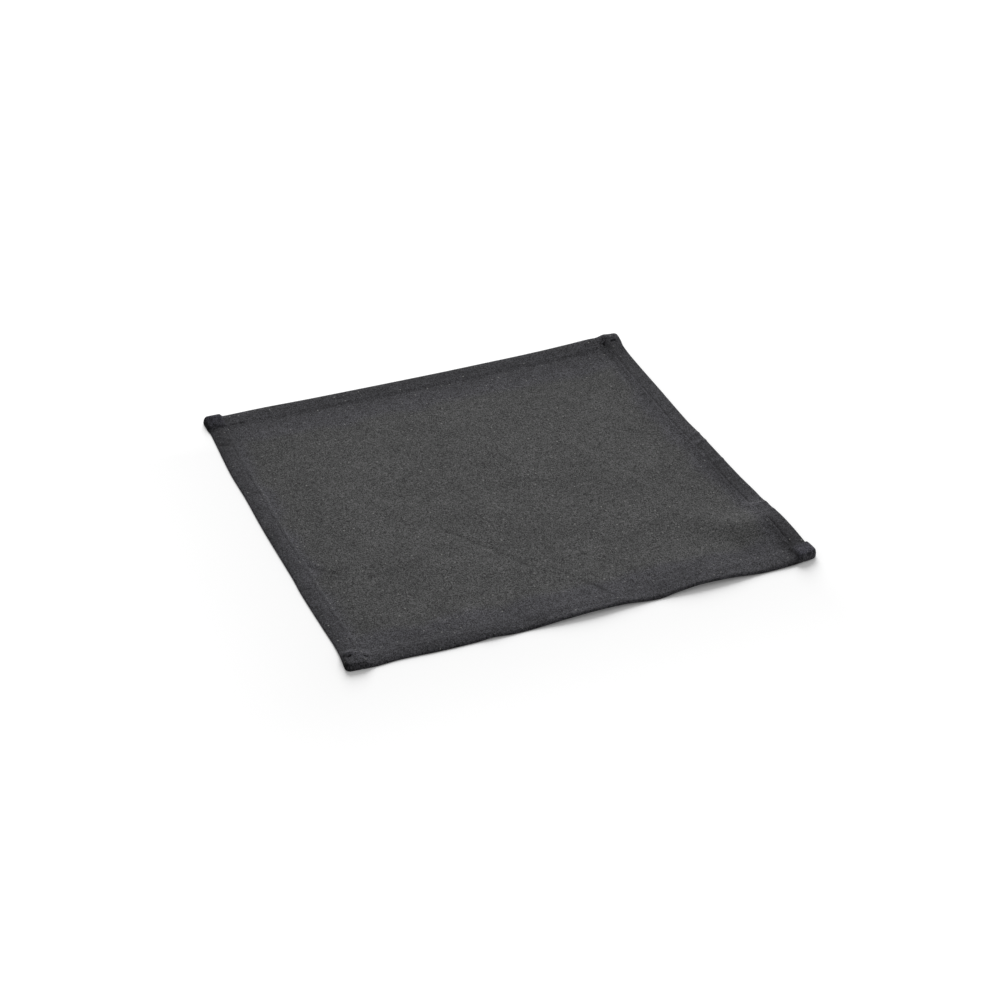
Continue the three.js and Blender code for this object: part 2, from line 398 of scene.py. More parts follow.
def alongEdge(name, column, place):
    # a column of an edge's rows at places along it, on a smooth curve through the rows
    at, values = np.array(edgeRows[name], float)[:, [0, rowColumns.index(column)]].T
    index = np.clip(np.searchsorted(at, place, side="right") - 1, 0, len(at) - 2)
    before = np.maximum(np.arange(len(at)) - 1, 0)
    after = np.minimum(np.arange(len(at)) + 1, len(at) - 1)
    slope = (values[after] - values[before]) / (at[after] - at[before])
    span = at[index + 1] - at[index]
    t = (place - at[index]) / span
    bend = (1 - t) * slope[index] - t * slope[index + 1]
    straight = values[index] + (values[index + 1] - values[index]) * smoothStep(t, 0, 1)
    return straight + span * t * (1 - t) * bend


def alongLines(x, y, lines, wanted, endFade=lineEnd):
    # the height or the dark of a table's lines, each soft across and fading out at its ends
    total = np.zeros_like(x)
    for *path, width, height, dark in lines:
        depth = height if wanted == "height" else dark
        for fromX, fromY, toX, toY in (path[i:i + 4] for i in range(0, len(path) - 2, 2)):
            length = math.hypot(toX - fromX, toY - fromY)
            alongX, alongY = (toX - fromX) / length, (toY - fromY) / length
            along = (x - fromX) * alongX + (y - fromY) * alongY
            across = (y - fromY) * alongX - (x - fromX) * alongY
            fade = min(endFade, length / 3)
            ends = smoothStep(along, -fade, fade) * fadeOut(along, length - fade, length + fade)
            total += depth * ends * bell(across, width)
    return total


def hemLines(edge):
    # distances in from an edge at which the grid has a line: over the outer fold, the crown, the
    # stitches' groove and the inner fold's slope, and just past it
    fold = mat["foldRadius"] * (1 - np.cos(np.radians(np.arange(0, 91, 15))))
    crown = np.linspace(mat["foldRadius"] + 0.7, edge["stitch"] - 1.3, mat["crownLines"])
    groove = edge["stitch"] + np.array([-0.9, -0.45, 0, 0.45, 0.9])
    slopeEnd = edge["hem"] + edge["slope"] / 2 + 0.3
    slope = np.linspace(edge["stitch"] + 1.3, slopeEnd, mat["slopeLines"])
    beside = slopeEnd + np.array([1, 2.4])
    return np.concatenate([fold, crown, groove, slope, beside])


def gridLines(length, near, far):
    # an odd number of lines, so that the underside can use every second one
    first, last = hemLines(edges[near]), length - hemLines(edges[far])[::-1]
    cells = 2 * round((last[0] - first[-1]) / mat["panelSpacing"] / 2)
    return np.concatenate([first, np.linspace(first[-1], last[0], cells + 1)[1:-1], last])


def findPlace(x, y):
    # a place on the flat mat, by how far in it is from its nearer side and end, with the outline's
    # corners rounded
    width, depth = mat["width"], mat["depth"]
    onLeft, onFront = x < width / 2, y < depth / 2
    fromSide, fromEnd = np.minimum(x, width - x), np.minimum(y, depth - y)
    place = {"onLeft": onLeft, "onFront": onFront, "fromEdge": np.minimum(fromSide, fromEnd)}
    radius = np.zeros_like(x)
    for corner, stack in stacks.items():
        radius[isAtCorner(place, corner)] = stack["radius"]
    across, along = radius - fromSide, radius - fromEnd
    inCorner = (across > 0) & (along > 0)
    reach = np.maximum(np.hypot(across, along), 1e-6)
    pull = np.where(inCorner, np.maximum(across, along) / reach, 1)
    place["fromSide"] = np.where(inCorner, radius - across * pull, fromSide)
    place["fromEnd"] = np.where(inCorner, radius - along * pull, fromEnd)
    return place


def isAtCorner(place, corner):
    side, end = corner
    return (place["onLeft"] == (side == "left")) & (place["onFront"] == (end == "front"))


def layOut(x, y, place):
    # where a place of the mat lies on the table, with the small waves of its edges
    width, depth = mat["width"], mat["depth"]
    planX = np.where(place["onLeft"], place["fromSide"], width - place["fromSide"])
    planY = np.where(place["onFront"], place["fromEnd"], depth - place["fromEnd"])
    planX += x / width * alongEdge("right", "out", y)
    planX -= (1 - x / width) * alongEdge("left", "out", y)
    planY += y / depth * alongEdge("back", "out", x)
    planY -= (1 - y / depth) * alongEdge("front", "out", x)
    return planX, planY


def shapeStacks(place):
    # the corner stacks: their height over the hems, the share of their full height, how blue and how
    # rounded they are, and the curl of the tips
    fromSide, fromEnd = place["fromSide"], place["fromEnd"]
    height, stacked, blue, rounded, curl = np.zeros((5, *fromSide.shape))
    for (side, end), stack in stacks.items():
        here = isAtCorner(place, (side, end))
        sideHem, endHem = edges[side]["hem"], edges[end]["hem"]
        slopeX = fadeOut(fromSide, sideHem + stack["full"], sideHem + stack["alongX"])
        slopeY = fadeOut(fromEnd, endHem - 2, endHem + stack["alongY"])
        dropAt = endHem + stack["dropAt"]
        drop = fadeOut(fromEnd, dropAt - 1.5, dropAt + 1)
        share = slopeX * (stack["drop"] * drop + (1 - stack["drop"]) * slopeY)
        share *= 1 - stack["tilt"] * smoothStep(fromEnd, 2, endHem)
        height = np.where(here, (stack["thick"] - mat["hemThick"]) * share, height)
        stacked = np.where(here, share, stacked)
        blue = np.where(here, stack["blue"] * share, blue)
        rounded = np.where(here, stack["rounded"], rounded)
        curling = fadeOut(np.hypot(fromSide, fromEnd), 0, mat["curlReach"])
        curl = np.where(here, stack["curl"] * curling, curl)
    return {"height": height, "stacked": stacked, "blue": blue, "rounded": rounded, "curl": curl}


def hemTop(distance, edge, crown, outer):
    # height of a hem over the cloth that it is turned onto
    rise = outer + (1 - outer) * np.sin(np.pi / 2 * np.clip(distance / crown, 0, 1))
    pressed = 1 - (1 - edge["inner"]) * smoothStep(distance, crown, edge["stitch"] + 0.5)
    groove = edge["groove"] * bell(distance - edge["stitch"], mat["grooveWidth"])
    fold = fadeOut(distance, edge["hem"] - edge["slope"] / 2, edge["hem"] + edge["slope"] / 2)
    return ((mat["hemThick"] - mat["cloth"] + mat["hemPuff"]) * rise * pressed - groove) * fold


def shapeHems(x, y, place, stacked):
    # the four hems: their height, their lift off the table, the swell of the cloth beside them, their
    # puckers, the groove under their stitches, how dark they are (tone), how blue, and how dark the
    # wash left the cloth beside them (band)
    hem, lift, swell, pucker, under, tone, blue, pale = np.zeros((8, *x.shape))
    pale += 1
    farOff = 1e3
    for name, along, isHere, inward in (
        ("left", y, place["onLeft"], "fromSide"), ("right", y, ~place["onLeft"], "fromSide"),
        ("front", x, place["onFront"], "fromEnd"), ("back", x, ~place["onFront"], "fromEnd"),
    ):
        distance = np.where(isHere, place[inward], farOff)
        edge = edges[name]
        width, stitch, seed = edge["hem"], edge["stitch"], edge["seed"]
        outer = edge["outer"] + (1 - edge["outer"]) * stacked
        top = hemTop(distance, edge, alongEdge(name, "crown", along), outer)
        hem = np.maximum(hem, top * (1 - alongEdge(name, "pressed", along)))
        beside = smoothStep(distance, 7, width + 1) * fadeOut(distance, width + 2, width + mat["swellReach"])
        swell = np.maximum(swell, edge["swell"] * beside)
        lift = np.maximum(lift, alongEdge(name, "lift", along) * fadeOut(distance, 0, edge["reach"]))
        under += mat["underGroove"] * bell(distance - stitch, mat["grooveWidth"])

        nearStitch = bell(distance - stitch + mat["puckerIn"], mat["puckerWidth"])
        gathered = 0
        for size, across, more in mat["gathers"]:
            gathered = gathered + softNoise(along, distance * across, size, seed + more)
        pucker += 0.5 * alongEdge(name, "pucker", along) * gathered * nearStitch

        onHem = fadeOut(distance, width, width + mat["toneFade"])
        tone += (alongEdge(name, "dark", along) - 1) * onHem * (1 - np.abs(tone))
        tone += edge["outerDark"] * fadeOut(distance, 0, mat["toneFade"])
        band = edge["bandDark"] * np.exp(-np.maximum(distance - width, 0) / edge["bandWidth"])
        pale *= 1 - np.minimum(band, 1)
        wander = softNoise(along, 0 * along, mat["blueApart"], seed + 80)
        blueTo = edge["blueTo"] + mat["blueWander"] * wander
        blue = np.maximum(blue, fadeOut(distance, blueTo - mat["blueEdge"], blueTo + mat["blueEdge"]))
    return {
        "height": hem, "lift": lift, "swell": swell, "pucker": pucker, "under": under,
        "tone": tone, "blue": blue, "band": 1 - pale,
    }


def shapePanel(x, y, fromEdge):
    # the panel's own hills, hollows and ripples, which the underside follows
    wave = sum(height * softNoise(x, y, size, seed) for height, size, seed in waves)
    for hillX, hillY, radius, height in hills:
        wave += height * bell(np.hypot(x - hillX, y - hillY), radius)
    rippled = alongLines(x, y, ripples, "height", rippleEnd) * smoothStep(fromEdge, 0, mat["rippleFull"])
    return (wave + mat["panelRise"]) * smoothStep(fromEdge, mat["panelFrom"], mat["panelFull"]) + rippled


def placeCloth(x, y):
    # the points of the upper and the lower face over places on the flat mat, in millimetres, and
    # their shades, among them the lines' painted shade and painted highlight
    place = findPlace(x, y)
    planX, planY = layOut(x, y, place)
    stack = shapeStacks(place)
    hem = shapeHems(x, y, place, stack["stacked"])
    fromEdge = place["fromEdge"]
    panel = shapePanel(x, y, fromEdge)
    raised = np.maximum(0, hem["lift"] + panel) + hem["swell"] + stack["curl"]

    # the outer fold rounds off the edge, and a stack's own edge is rounded further in
    inward = 1 - np.clip(fromEdge / mat["foldRadius"], 0, 1)
    folded = 1 - np.sqrt(1 - inward ** 2)
    stackInward = (1 - np.clip(fromEdge / mat["stackRadius"], 0, 1)) ** 2
    rounding = (mat["cloth"] + hem["height"]) * (1 - mat["foldFace"]) * folded
    stackRounding = stack["height"] * (mat["stackFold"] * folded + stack["rounded"] * stackInward)

    marks = alongLines(x, y, creases, "height") + alongLines(x, y, tucks, "height")
    marks += alongLines(x, y, mouths, "height", mouthEnd)
    marks += hem["pucker"] * (1 - inward ** 2)
    thick = mat["cloth"] + hem["height"] + stack["height"]
    upper = raised + thick - rounding * (1 - mat["foldUnder"]) - stackRounding + marks
    lower = raised + rounding * mat["foldUnder"] + hem["under"]
    # painted shade along the troughs, creases and mouths, and below zero a painted highlight on ridges and
    # lips
    shade = alongLines(x, y, creases, "dark") + alongLines(x, y, tucks, "dark")
    shade += alongLines(x, y, mouths, "dark", mouthEnd) + alongLines(x, y, ripples, "dark", rippleEnd)
    blue = mat["foldBlue"] * hem["blue"] + stack["blue"] * smoothStep(fromEdge, 0, 3)
    return {
        "x": planX, "y": planY, "upper": upper, "lower": lower, "stack": stack["height"],
        "band": hem["band"], "blue": blue, "tone": hem["tone"], "shade": np.clip(shade, -0.8, 1),
    }


def unfoldUpper(x, y, cells):
    # where the upper face's cells are on the cloth before it was folded, and which show its reverse
    width, depth, wall = mat["width"], mat["depth"], mat["hemThick"]
    cellX, cellY = x[cells].mean(1)[:, None], y[cells].mean(1)[:, None]
    onFront, onBack = cellY < edges["front"]["hem"], cellY > depth - edges["back"]["hem"]
    onLeft = (cellX < edges["left"]["hem"]) & ~onFront & ~onBack
    onRight = (cellX > width - edges["right"]["hem"]) & ~onFront & ~onBack
    cellX, cellY = x[cells], y[cells]
    placeX = np.where(onLeft, -cellX - wall, np.where(onRight, 2 * width - cellX + wall, cellX))
    placeY = np.where(onFront, -cellY - wall, np.where(onBack, 2 * depth - cellY + wall, cellY))
    return np.stack([placeX, placeY], -1).reshape(-1, 2), (onFront | onBack | onLeft | onRight)[:, 0]


def buildCloth():
    width, depth, wall = mat["width"], mat["depth"], mat["hemThick"]
    linesX, linesY = gridLines(width, "left", "right"), gridLines(depth, "front", "back")
    countX, countY = len(linesX), len(linesY)
    x, y = (grid.ravel() for grid in np.meshgrid(linesX, linesY))
    cloth = placeCloth(x, y)
    upper = np.stack([cloth["x"], cloth["y"], cloth["upper"]], -1)
    lower = np.stack([cloth["x"], cloth["y"], cloth["lower"]], -1)
    index = np.arange(countX * countY).reshape(countY, countX)

    # the upper face
    corners = [index[:-1, :-1], index[:-1, 1:], index[1:, 1:], index[1:, :-1]]
    cells = np.stack(corners, -1).reshape(-1, 4)
    faces = cells.tolist()
    upperPlaces, isReverse = unfoldUpper(x, y, cells)
    places, isReverse = [upperPlaces], list(isReverse)

    # the outer fold, as rows of points down from the upper face's edge, all the way round
    ring = np.concatenate([index[0, :-1], index[:-1, -1], index[-1, :0:-1], index[:0:-1, 0]])
    outward = np.stack([
        np.where(x[ring] == 0, -1, np.where(x[ring] == width, 1, 0)),
        np.where(y[ring] == 0, -1, np.where(y[ring] == depth, 1, 0)),
    ], -1).astype(float)
    outward /= np.linalg.norm(outward, axis=1)[:, None]
    edgePlace = np.stack([x[ring], y[ring]], -1)
    showing = smoothStep(cloth["stack"][ring], mat["layersFrom"], mat["layersFull"])
    layered = showing * (outward[:, 0] != 0)
    rows = [upper]
    above, aboveShare, start = ring, 0, len(upper)
    for share in mat["foldRows"]:
        plain = mat["foldBulge"] * math.sin(math.pi * share)
        swollen = abs(math.sin(3 * math.pi * share)) - mat["layerNotch"]
        folds = mat["layerBulge"] * swollen * (share < 1)
        row = upper[ring] * (1 - share) + lower[ring] * share
        row[:, :2] += outward * (plain * (1 - layered) + folds * layered)[:, None]
        rows.append(row)
        below = start + np.arange(len(ring))
        faces += np.stack([above, below, np.roll(below, -1), np.roll(above, -1)], -1).tolist()
        high = edgePlace + outward * wall * (1 - aboveShare)
        low = edgePlace + outward * wall * (1 - share)
        strip = [high, low, np.roll(low, -1, 0), np.roll(high, -1, 0)]
        places.append(np.stack(strip, 1).reshape(-1, 2))
        above, aboveShare, start = below, share, start + len(ring)

    # the underside, on every second line, whose outer cells take in all of the fold's points
    underside = np.full(countX * countY, -1)
    underside[ring] = above
    inner = index[2:-2:2, 2:-2:2].ravel()
    underside[inner] = start + np.arange(len(inner))
    rows.append(lower[inner])
    around = ((0, 0), (1, 0), (2, 0), (2, 1), (2, 2), (1, 2), (0, 2), (0, 1))
    for j in range(0, countY - 1, 2):
        for i in range(0, countX - 1, 2):
            loop = [index[j + down, i + across] for down, across in around]
            loop = [point for point in loop if underside[point] >= 0]
            faces.append([int(underside[point]) for point in loop])
            places.append(np.stack([x[loop], y[loop]], -1))
    isReverse += [True] * (len(faces) - len(isReverse))

    # the middle of the mat is over the middle of the frame's box
    points = np.concatenate(rows)
    low, high = points.min(0), points.max(0)
    origin = np.array([(low[0] + high[0]) / 2, (low[1] + high[1]) / 2, low[2]])
    mesh = bpy.data.meshes.new("placeMatCloth")
    mesh.from_pydata(toFrame(points, origin).tolist(), [], faces)
    mesh.update()
    mesh.shade_smooth()

    # where each corner of a face is on the flat cloth, in metres, for the weave
    clothPlace = mesh.uv_layers.new(name="clothPlace")
    clothPlace.data.foreach_set("uv", (np.concatenate(places) * mm).astype(np.float32).ravel())

    # the shades, which go on down the outer fold, and one value each for the underside; shade is the lines'
    # painted shade and highlight
    foldRows = (start - len(x)) // len(ring)
    for name, beneath in (("band", 1), ("blue", mat["foldBlue"]), ("tone", 0), ("shade", 0)):
        values = np.full(len(points), beneath, np.float32)
        values[:len(x)] = cloth[name]
        values[len(x):start] = np.tile(cloth[name][ring], foldRows)
        mesh.attributes.new(name, "FLOAT", "POINT").data.foreach_set("value", values)
    mesh.polygons.foreach_set("material_index", np.array(isReverse, np.int32))

    return addObject("placeMatCloth", mesh), origin


def toFrame(points, origin):
    middle = (cadBox[0] + cadBox[1]) / 2
    return (points - origin) * mm + [middle.x, middle.y, cadBox[0].z]


def countTriangles(piece):
    return sum(len(face.vertices) - 2 for face in piece.data.polygons)


print("cloth: building the mat and its hems")
matCloth, matOrigin = buildCloth()
print("cloth:", countTriangles(matCloth), "triangles")

# The seams: one line of stitches along each hem, seen from above and from below. Those of the front
# and the back hem were sewn last and run over the corner stacks.
seams = {
    "pitch": 3.0,
    "length": 2.5,
    "thickness": 0.42,
    "sunk": 0.2,  # how far a stitch's middle is below the cloth beside it
    "endGap": 2.5,  # from the mat's edge to a line's end
    "innerGap": 1,  # from the inner fold of another hem to a line's end
    "pathStep": 1.5,  # between the points of a line
    "askew": 5,  # degrees
}


def seamLines():
    # the lines' points, in metres, with the edges between them
    width, depth, gap = mat["width"], mat["depth"], seams["endGap"]
    front, back = edges["front"]["stitch"], depth - edges["back"]["stitch"]
    left, right = edges["left"]["stitch"], width - edges["right"]["stitch"]
    innerFront = edges["front"]["hem"] + seams["innerGap"]
    innerBack = depth - edges["back"]["hem"] - seams["innerGap"]
    lines, points, links = [], [], []
    for face, low, high in (("upper", innerFront, innerBack), ("lower", gap, depth - gap)):
        lines += [(gap, front, width - gap, front, face), (gap, back, width - gap, back, face)]
        lines += [(left, low, left, high, face), (right, low, right, high, face)]
    for fromX, fromY, toX, toY, face in lines:
        count = round(math.hypot(toX - fromX, toY - fromY) / seams["pathStep"])
        x, y = np.linspace(fromX, toX, count + 1), np.linspace(fromY, toY, count + 1)
        cloth = placeCloth(x, y)
        sunk = -seams["sunk"] if face == "upper" else seams["sunk"] - mat["underGroove"] / 2
        first = len(points)
        points += np.stack([cloth["x"], cloth["y"], cloth[face] + sunk], -1).tolist()
        links += [(first + i, first + i + 1) for i in range(count)]
    return toFrame(np.array(points), matOrigin), links


def buildStitchTree():
    # a bead of thread at each pitch of a line, along it and a little askew
    tree = bpy.data.node_groups.new("stitchLine", "GeometryNodeTree")
    for label, kind in (
        ("Seam", "Geometry"), ("Pitch", "Float"), ("Stitch Size", "Vector"), ("Askew", "Float"),
        ("Thread", "Material"),
    ):
        tree.interface.new_socket(label, in_out="INPUT", socket_type="NodeSocket" + kind)
    tree.interface.new_socket("Stitches", in_out="OUTPUT", socket_type="NodeSocketGeometry")
    given = tree.nodes.new("NodeGroupInput").outputs
    result = tree.nodes.new("NodeGroupOutput").inputs

    line = addNode(tree, "GeometryNodeMeshToCurve", {0: given["Seam"]})
    spaced = {"Curve": line.outputs[0], "Length": given["Pitch"]}
    places = addNode(tree, "GeometryNodeCurveToPoints", spaced, mode="LENGTH")
    bead = addNode(tree, "GeometryNodeMeshUVSphere", {"Segments": 8, "Rings": 6, "Radius": 0.5})
    sized = {"Geometry": bead.outputs["Mesh"], "Scale": given["Stitch Size"]}
    stitch = addNode(tree, "GeometryNodeTransform", sized)
    smooth = addNode(tree, "GeometryNodeSetShadeSmooth", {"Geometry": stitch.outputs[0]})

    tangent = {"Vector": places.outputs["Tangent"]}
    along = addNode(tree, "FunctionNodeAlignRotationToVector", tangent, axis="X")
    least, most = (scaled(tree, (0, 0, side), given["Askew"]) for side in (-1, 1))
    turns = {0: least, 1: most, "Seed": 7}
    turn = addNode(tree, "FunctionNodeRandomValue", turns, data_type="FLOAT_VECTOR")
    twist = addNode(tree, "FunctionNodeEulerToRotation", {0: turn.outputs[0]})
    turned = {0: along.outputs[0], 1: twist.outputs[0]}
    facing = addNode(tree, "FunctionNodeRotateRotation", turned, rotation_space="LOCAL")
    sewn = addNode(tree, "GeometryNodeInstanceOnPoints", {
        "Points": places.outputs["Points"], "Instance": smooth.outputs[0],
        "Rotation": facing.outputs[0],
    })
    real = addNode(tree, "GeometryNodeRealizeInstances", {0: sewn.outputs[0]})
    dressed = {"Geometry": real.outputs[0], "Material": given["Thread"]}
    coloured = addNode(tree, "GeometryNodeSetMaterial", dressed)
    connect(tree, coloured.outputs[0], result[0])
    return tree


def growPiece(name, points, links, tree, values):
    # a plain mesh from a tree of nodes on a line
    path = bpy.data.meshes.new(name + "Path")
    path.from_pydata(np.asarray(points).tolist(), links, [])
    source = addObject(name + "Path", path)
    modifier = source.modifiers.new("nodes", "NODES")
    modifier.node_group = tree
    for item in tree.interface.items_tree:
        if item.in_out == "INPUT" and item.name in values:
            modifier[item.identifier] = values[item.name]
    evaluated = source.evaluated_get(bpy.context.evaluated_depsgraph_get())
    mesh = bpy.data.meshes.new_from_object(evaluated)
    mesh.name = name
    bpy.data.objects.remove(source)
    bpy.data.meshes.remove(path)
    return addObject(name, mesh)


# The finishes. The weave's sizes count in pitches unless they say otherwise.
weave = {
    "pitch": 0.8,  # from one yarn to the next, in millimetres
    "drift": 0.5,  # how far yarns wander
    "driftGrain": 0.11,  # how closely the wandering changes
    "driftGain": 6,  # because the noise hardly reaches its ends
    "uneven": 0.66,  # how much one crown differs from the next
    "slubs": 0.3,  # thick and thin lengths of yarn
    "slubApart": 3.71,  # keeps one yarn's slubs from the next one's
    "slubGrain": 0.16,  # how closely a yarn's thickness changes along it
    "yarnRise": 0.45,  # how far a yarn rises and falls
    "thinnest": 0.5,  # of a yarn, and what a slub adds to it
    "thicker": 0.6,
    "lowest": 0.25,  # heights at which the colour is the gaps' painted shade and the crowns' painted light
    "highest": 0.95,
    "gap": 0.45,  # painted shade of the gaps between yarns; the crown value below is painted light on their tops
    "crown": 1.12,
    "relief": 0.25,  # height of a crown, in millimetres
    "bump": 0.8,
    "lumps": 2.6,  # what thick and thin yarns add to the relief
    "lumpGrain": 0.8,
    "mottle": 0.5,
    "toneRange": 0.6,  # how much the rows' dark values count
    "paintedShadeRange": 0.93,  # how much the lines' painted shade and painted highlight count
    "washedColour": (0.0715, 0.0715, 0.0715),
    "darkColour": (0.0462, 0.0462, 0.0462),
    "dyeBlue": (1.0, 0.965, 1.3),
    "roughness": 0.95,
    "specular": 0.15,
}

# The clouds of the wash: how many to a metre and how strong.
clouds = ((14, 0.5), (30, 0.6), (75, 0.65), (190, 0.6))

# Light and dark lint: its spacing in millimetres, its size in spacings, and the share of its places
# that have a speck on the washed face and on the dark reverse.
lints = (
    {"colour": (0.26, 0.26, 0.25), "spacing": 7.5, "size": 0.085, "onFace": 0.4, "onReverse": 0.2},
    {"colour": (0.022, 0.022, 0.023), "spacing": 7, "size": 0.1, "onFace": 0.4, "onReverse": 0.4},
)

thread = {
    "colour": (0.018, 0.018, 0.02),
    "plyGrain": 900,
    "plyUneven": 1.5,
    "plyPaintedShade": 0.75,  # painted shade between the plies, and the painted light that their tops add to it
    "plyPaintedLight": 0.5,
    "relief": 0.05,
    "bump": 0.5,
    "roughness": 0.7,
    "specular": 0.2,
}


def newGroup(name, inputs, outputs):
    # a group that takes a place and some numbers and puts out numbers
    tree = bpy.data.node_groups.new(name, "ShaderNodeTree")
    tree.interface.new_socket("Place", in_out="INPUT", socket_type="NodeSocketVector")
    for label, value in inputs.items():
        socket = tree.interface.new_socket(label, in_out="INPUT", socket_type="NodeSocketFloat")
        socket.default_value = value
    for label in outputs:
        tree.interface.new_socket(label, in_out="OUTPUT", socket_type="NodeSocketFloat")
    given = tree.nodes.new("NodeGroupInput").outputs
    return tree, given, tree.nodes.new("NodeGroupOutput").inputs


def noise(tree, place, scale, detail, output="Fac"):
    inputs = {"Vector": place, "Scale": scale, "Detail": detail}
    return addNode(tree, "ShaderNodeTexNoise", inputs).outputs[output]


def offMiddle(tree, value):
    return minus(tree, value, 0.5)


def buildYarn(tree, across, along, yarn, turn):
    # a yarn is round across, rises and falls along, and is thick and thin in places
    side = maths(tree, "MULTIPLY_ADD", minus(tree, across, yarn), 2, -1)
    inside = minus(tree, 1, times(tree, side, side))
    rounded = maths(tree, "SQRT", maths(tree, "MAXIMUM", inside, 0))
    phase = times(tree, plus(tree, offMiddle(tree, along), yarn), math.pi)
    rise = times(tree, maths(tree, "COSINE", phase), weave["yarnRise"] * turn)
    line = addNode(tree, "ShaderNodeCombineXYZ", {
        0: times(tree, yarn, weave["slubApart"]),
        1: times(tree, along, weave["slubGrain"]),
        2: turn * 5.0,
    })
    slub = noise(tree, line.outputs[0], 1, 1)
    thick = plus(tree, times(tree, slub, weave["thicker"]), weave["thinnest"])
    return plus(tree, rise, times(tree, rounded, thick)), slub


def buildPlainWeave():
    # a plain weave: each warp yarn goes over one weft yarn and under the next
    tree, given, result = newGroup("plainWeave", {
        "Pitch": 0.001, "Drift": 0.5, "Uneven": 0.5, "Slubs": 0.3, "Gap Painted Shade": 0.5, "Lumps": 1,
    }, ("Shade", "Height"))
    counted = scaled(tree, given["Place"], maths(tree, "DIVIDE", 1, given["Pitch"]))
    wander = noise(tree, counted, weave["driftGrain"], 2, "Color")
    centred = vectorMaths(tree, "SUBTRACT", wander, (0.5, 0.5, 0.5))
    pushed = scaled(tree, centred, times(tree, given["Drift"], weave["driftGain"]))
    moved = vectorMaths(tree, "ADD", counted, pushed)
    split = addNode(tree, "ShaderNodeSeparateXYZ", {0: moved})
    u, v = split.outputs[0], split.outputs[1]
    warpYarn, weftYarn = maths(tree, "FLOOR", u), maths(tree, "FLOOR", v)
    warpHeight, warpSlub = buildYarn(tree, u, v, warpYarn, 1)
    weftHeight, weftSlub = buildYarn(tree, v, u, weftYarn, -1)
    warpOver = maths(tree, "GREATER_THAN", warpHeight, weftHeight)
    height = maths(tree, "MAXIMUM", warpHeight, weftHeight)
    slub = addNode(tree, "ShaderNodeMix", {0: warpOver, 2: weftSlub, 3: warpSlub}).outputs[0]

    # each crown has a shade of its own
    crown = addNode(tree, "ShaderNodeCombineXYZ", {0: warpYarn, 1: weftYarn})
    crownPlace = {"Vector": crown.outputs[0]}
    chance = addNode(tree, "ShaderNodeTexWhiteNoise", crownPlace, noise_dimensions="2D").outputs["Value"]
    byCrown = times(tree, offMiddle(tree, chance), times(tree, given["Uneven"], 2))
    bySlub = times(tree, offMiddle(tree, slub), times(tree, given["Slubs"], 4))
    tone = plus(tree, plus(tree, byCrown, bySlub), 1)
    # painted shade in the gaps between yarns and painted light on their crowns, by the weave's height
    depth = addNode(tree, "ShaderNodeMapRange", {
        "Value": height, "From Min": weave["lowest"], "From Max": weave["highest"],
        "To Min": given["Gap Painted Shade"], "To Max": weave["crown"],
    })
    shade = times(tree, tone, depth.outputs[0])
    connect(tree, maths(tree, "MAXIMUM", shade, 0.1), result["Shade"])

    # thick yarns stand up in small lumps
    lump = noise(tree, counted, weave["lumpGrain"], 1)
    swollen = plus(tree, offMiddle(tree, lump), offMiddle(tree, slub))
    connect(tree, maths(tree, "MULTIPLY_ADD", swollen, given["Lumps"], height), result["Height"])
    return tree


def buildMottle():
    # soft cloudy patches of several sizes, around 1
    tree, given, result = newGroup("washMottle", {"Amount": 0.2}, ("Shade",))
    total = 1
    for grain, strength in clouds:
        cloud = offMiddle(tree, noise(tree, given["Place"], grain, 1))
        part = times(tree, cloud, strength)
        total = plus(tree, total, times(tree, part, given["Amount"]))
    connect(tree, total, result["Shade"])
    return tree


def buildLint():
    # scattered specks, as a mask
    sizes = {"Spacing": 0.006, "Size": 0.12, "Share": 0.2}
    tree, given, result = newGroup("lintSpecks", sizes, ("Mask",))
    counted = scaled(tree, given["Place"], maths(tree, "DIVIDE", 1, given["Spacing"]))
    cells = {"Vector": counted, "Scale": 1}
    specks = addNode(tree, "ShaderNodeTexVoronoi", cells, voronoi_dimensions="2D")
    chance = addNode(tree, "ShaderNodeSeparateColor", {0: specks.outputs["Color"]})
    chosen = maths(tree, "LESS_THAN", chance.outputs[0], given["Share"])
    size = times(tree, given["Size"], plus(tree, chance.outputs[1], 0.5))
    near = addNode(tree, "ShaderNodeMapRange", {
        "Value": specks.outputs["Distance"], "From Min": size, "From Max": times(tree, size, 0.4),
    })
    strength = plus(tree, times(tree, chance.outputs[2], 0.6), 0.4)
    shown = times(tree, near.outputs[0], chosen)
    connect(tree, times(tree, shown, strength), result["Mask"])
    return tree


def useGroup(tree, group, inputs):
    return addNode(tree, "ShaderNodeGroup", inputs, node_tree=group).outputs


def readAttribute(tree, name):
    return addNode(tree, "ShaderNodeAttribute", attribute_name=name).outputs["Fac"]


def blend(tree, share, first, second, blendType="MIX"):
    inputs = {0: share, 6: first, 7: second}
    return addNode(tree, "ShaderNodeMix", inputs, data_type="RGBA", blend_type=blendType).outputs[2]


def newMaterial(name):
    material = bpy.data.materials.new(name)
    material.use_nodes = True
    tree = material.node_tree
    return material, tree, tree.nodes["Principled BSDF"]


def finishSurface(tree, shader, look, colour, height):
    connect(tree, colour, shader.inputs["Base Color"])
    shader.inputs["Roughness"].default_value = look["roughness"]
    shader.inputs["Specular IOR Level"].default_value = look["specular"]
    bumps = {"Height": height, "Strength": look["bump"], "Distance": look["relief"] * mm}
    connect(tree, addNode(tree, "ShaderNodeBump", bumps).outputs[0], shader.inputs["Normal"])


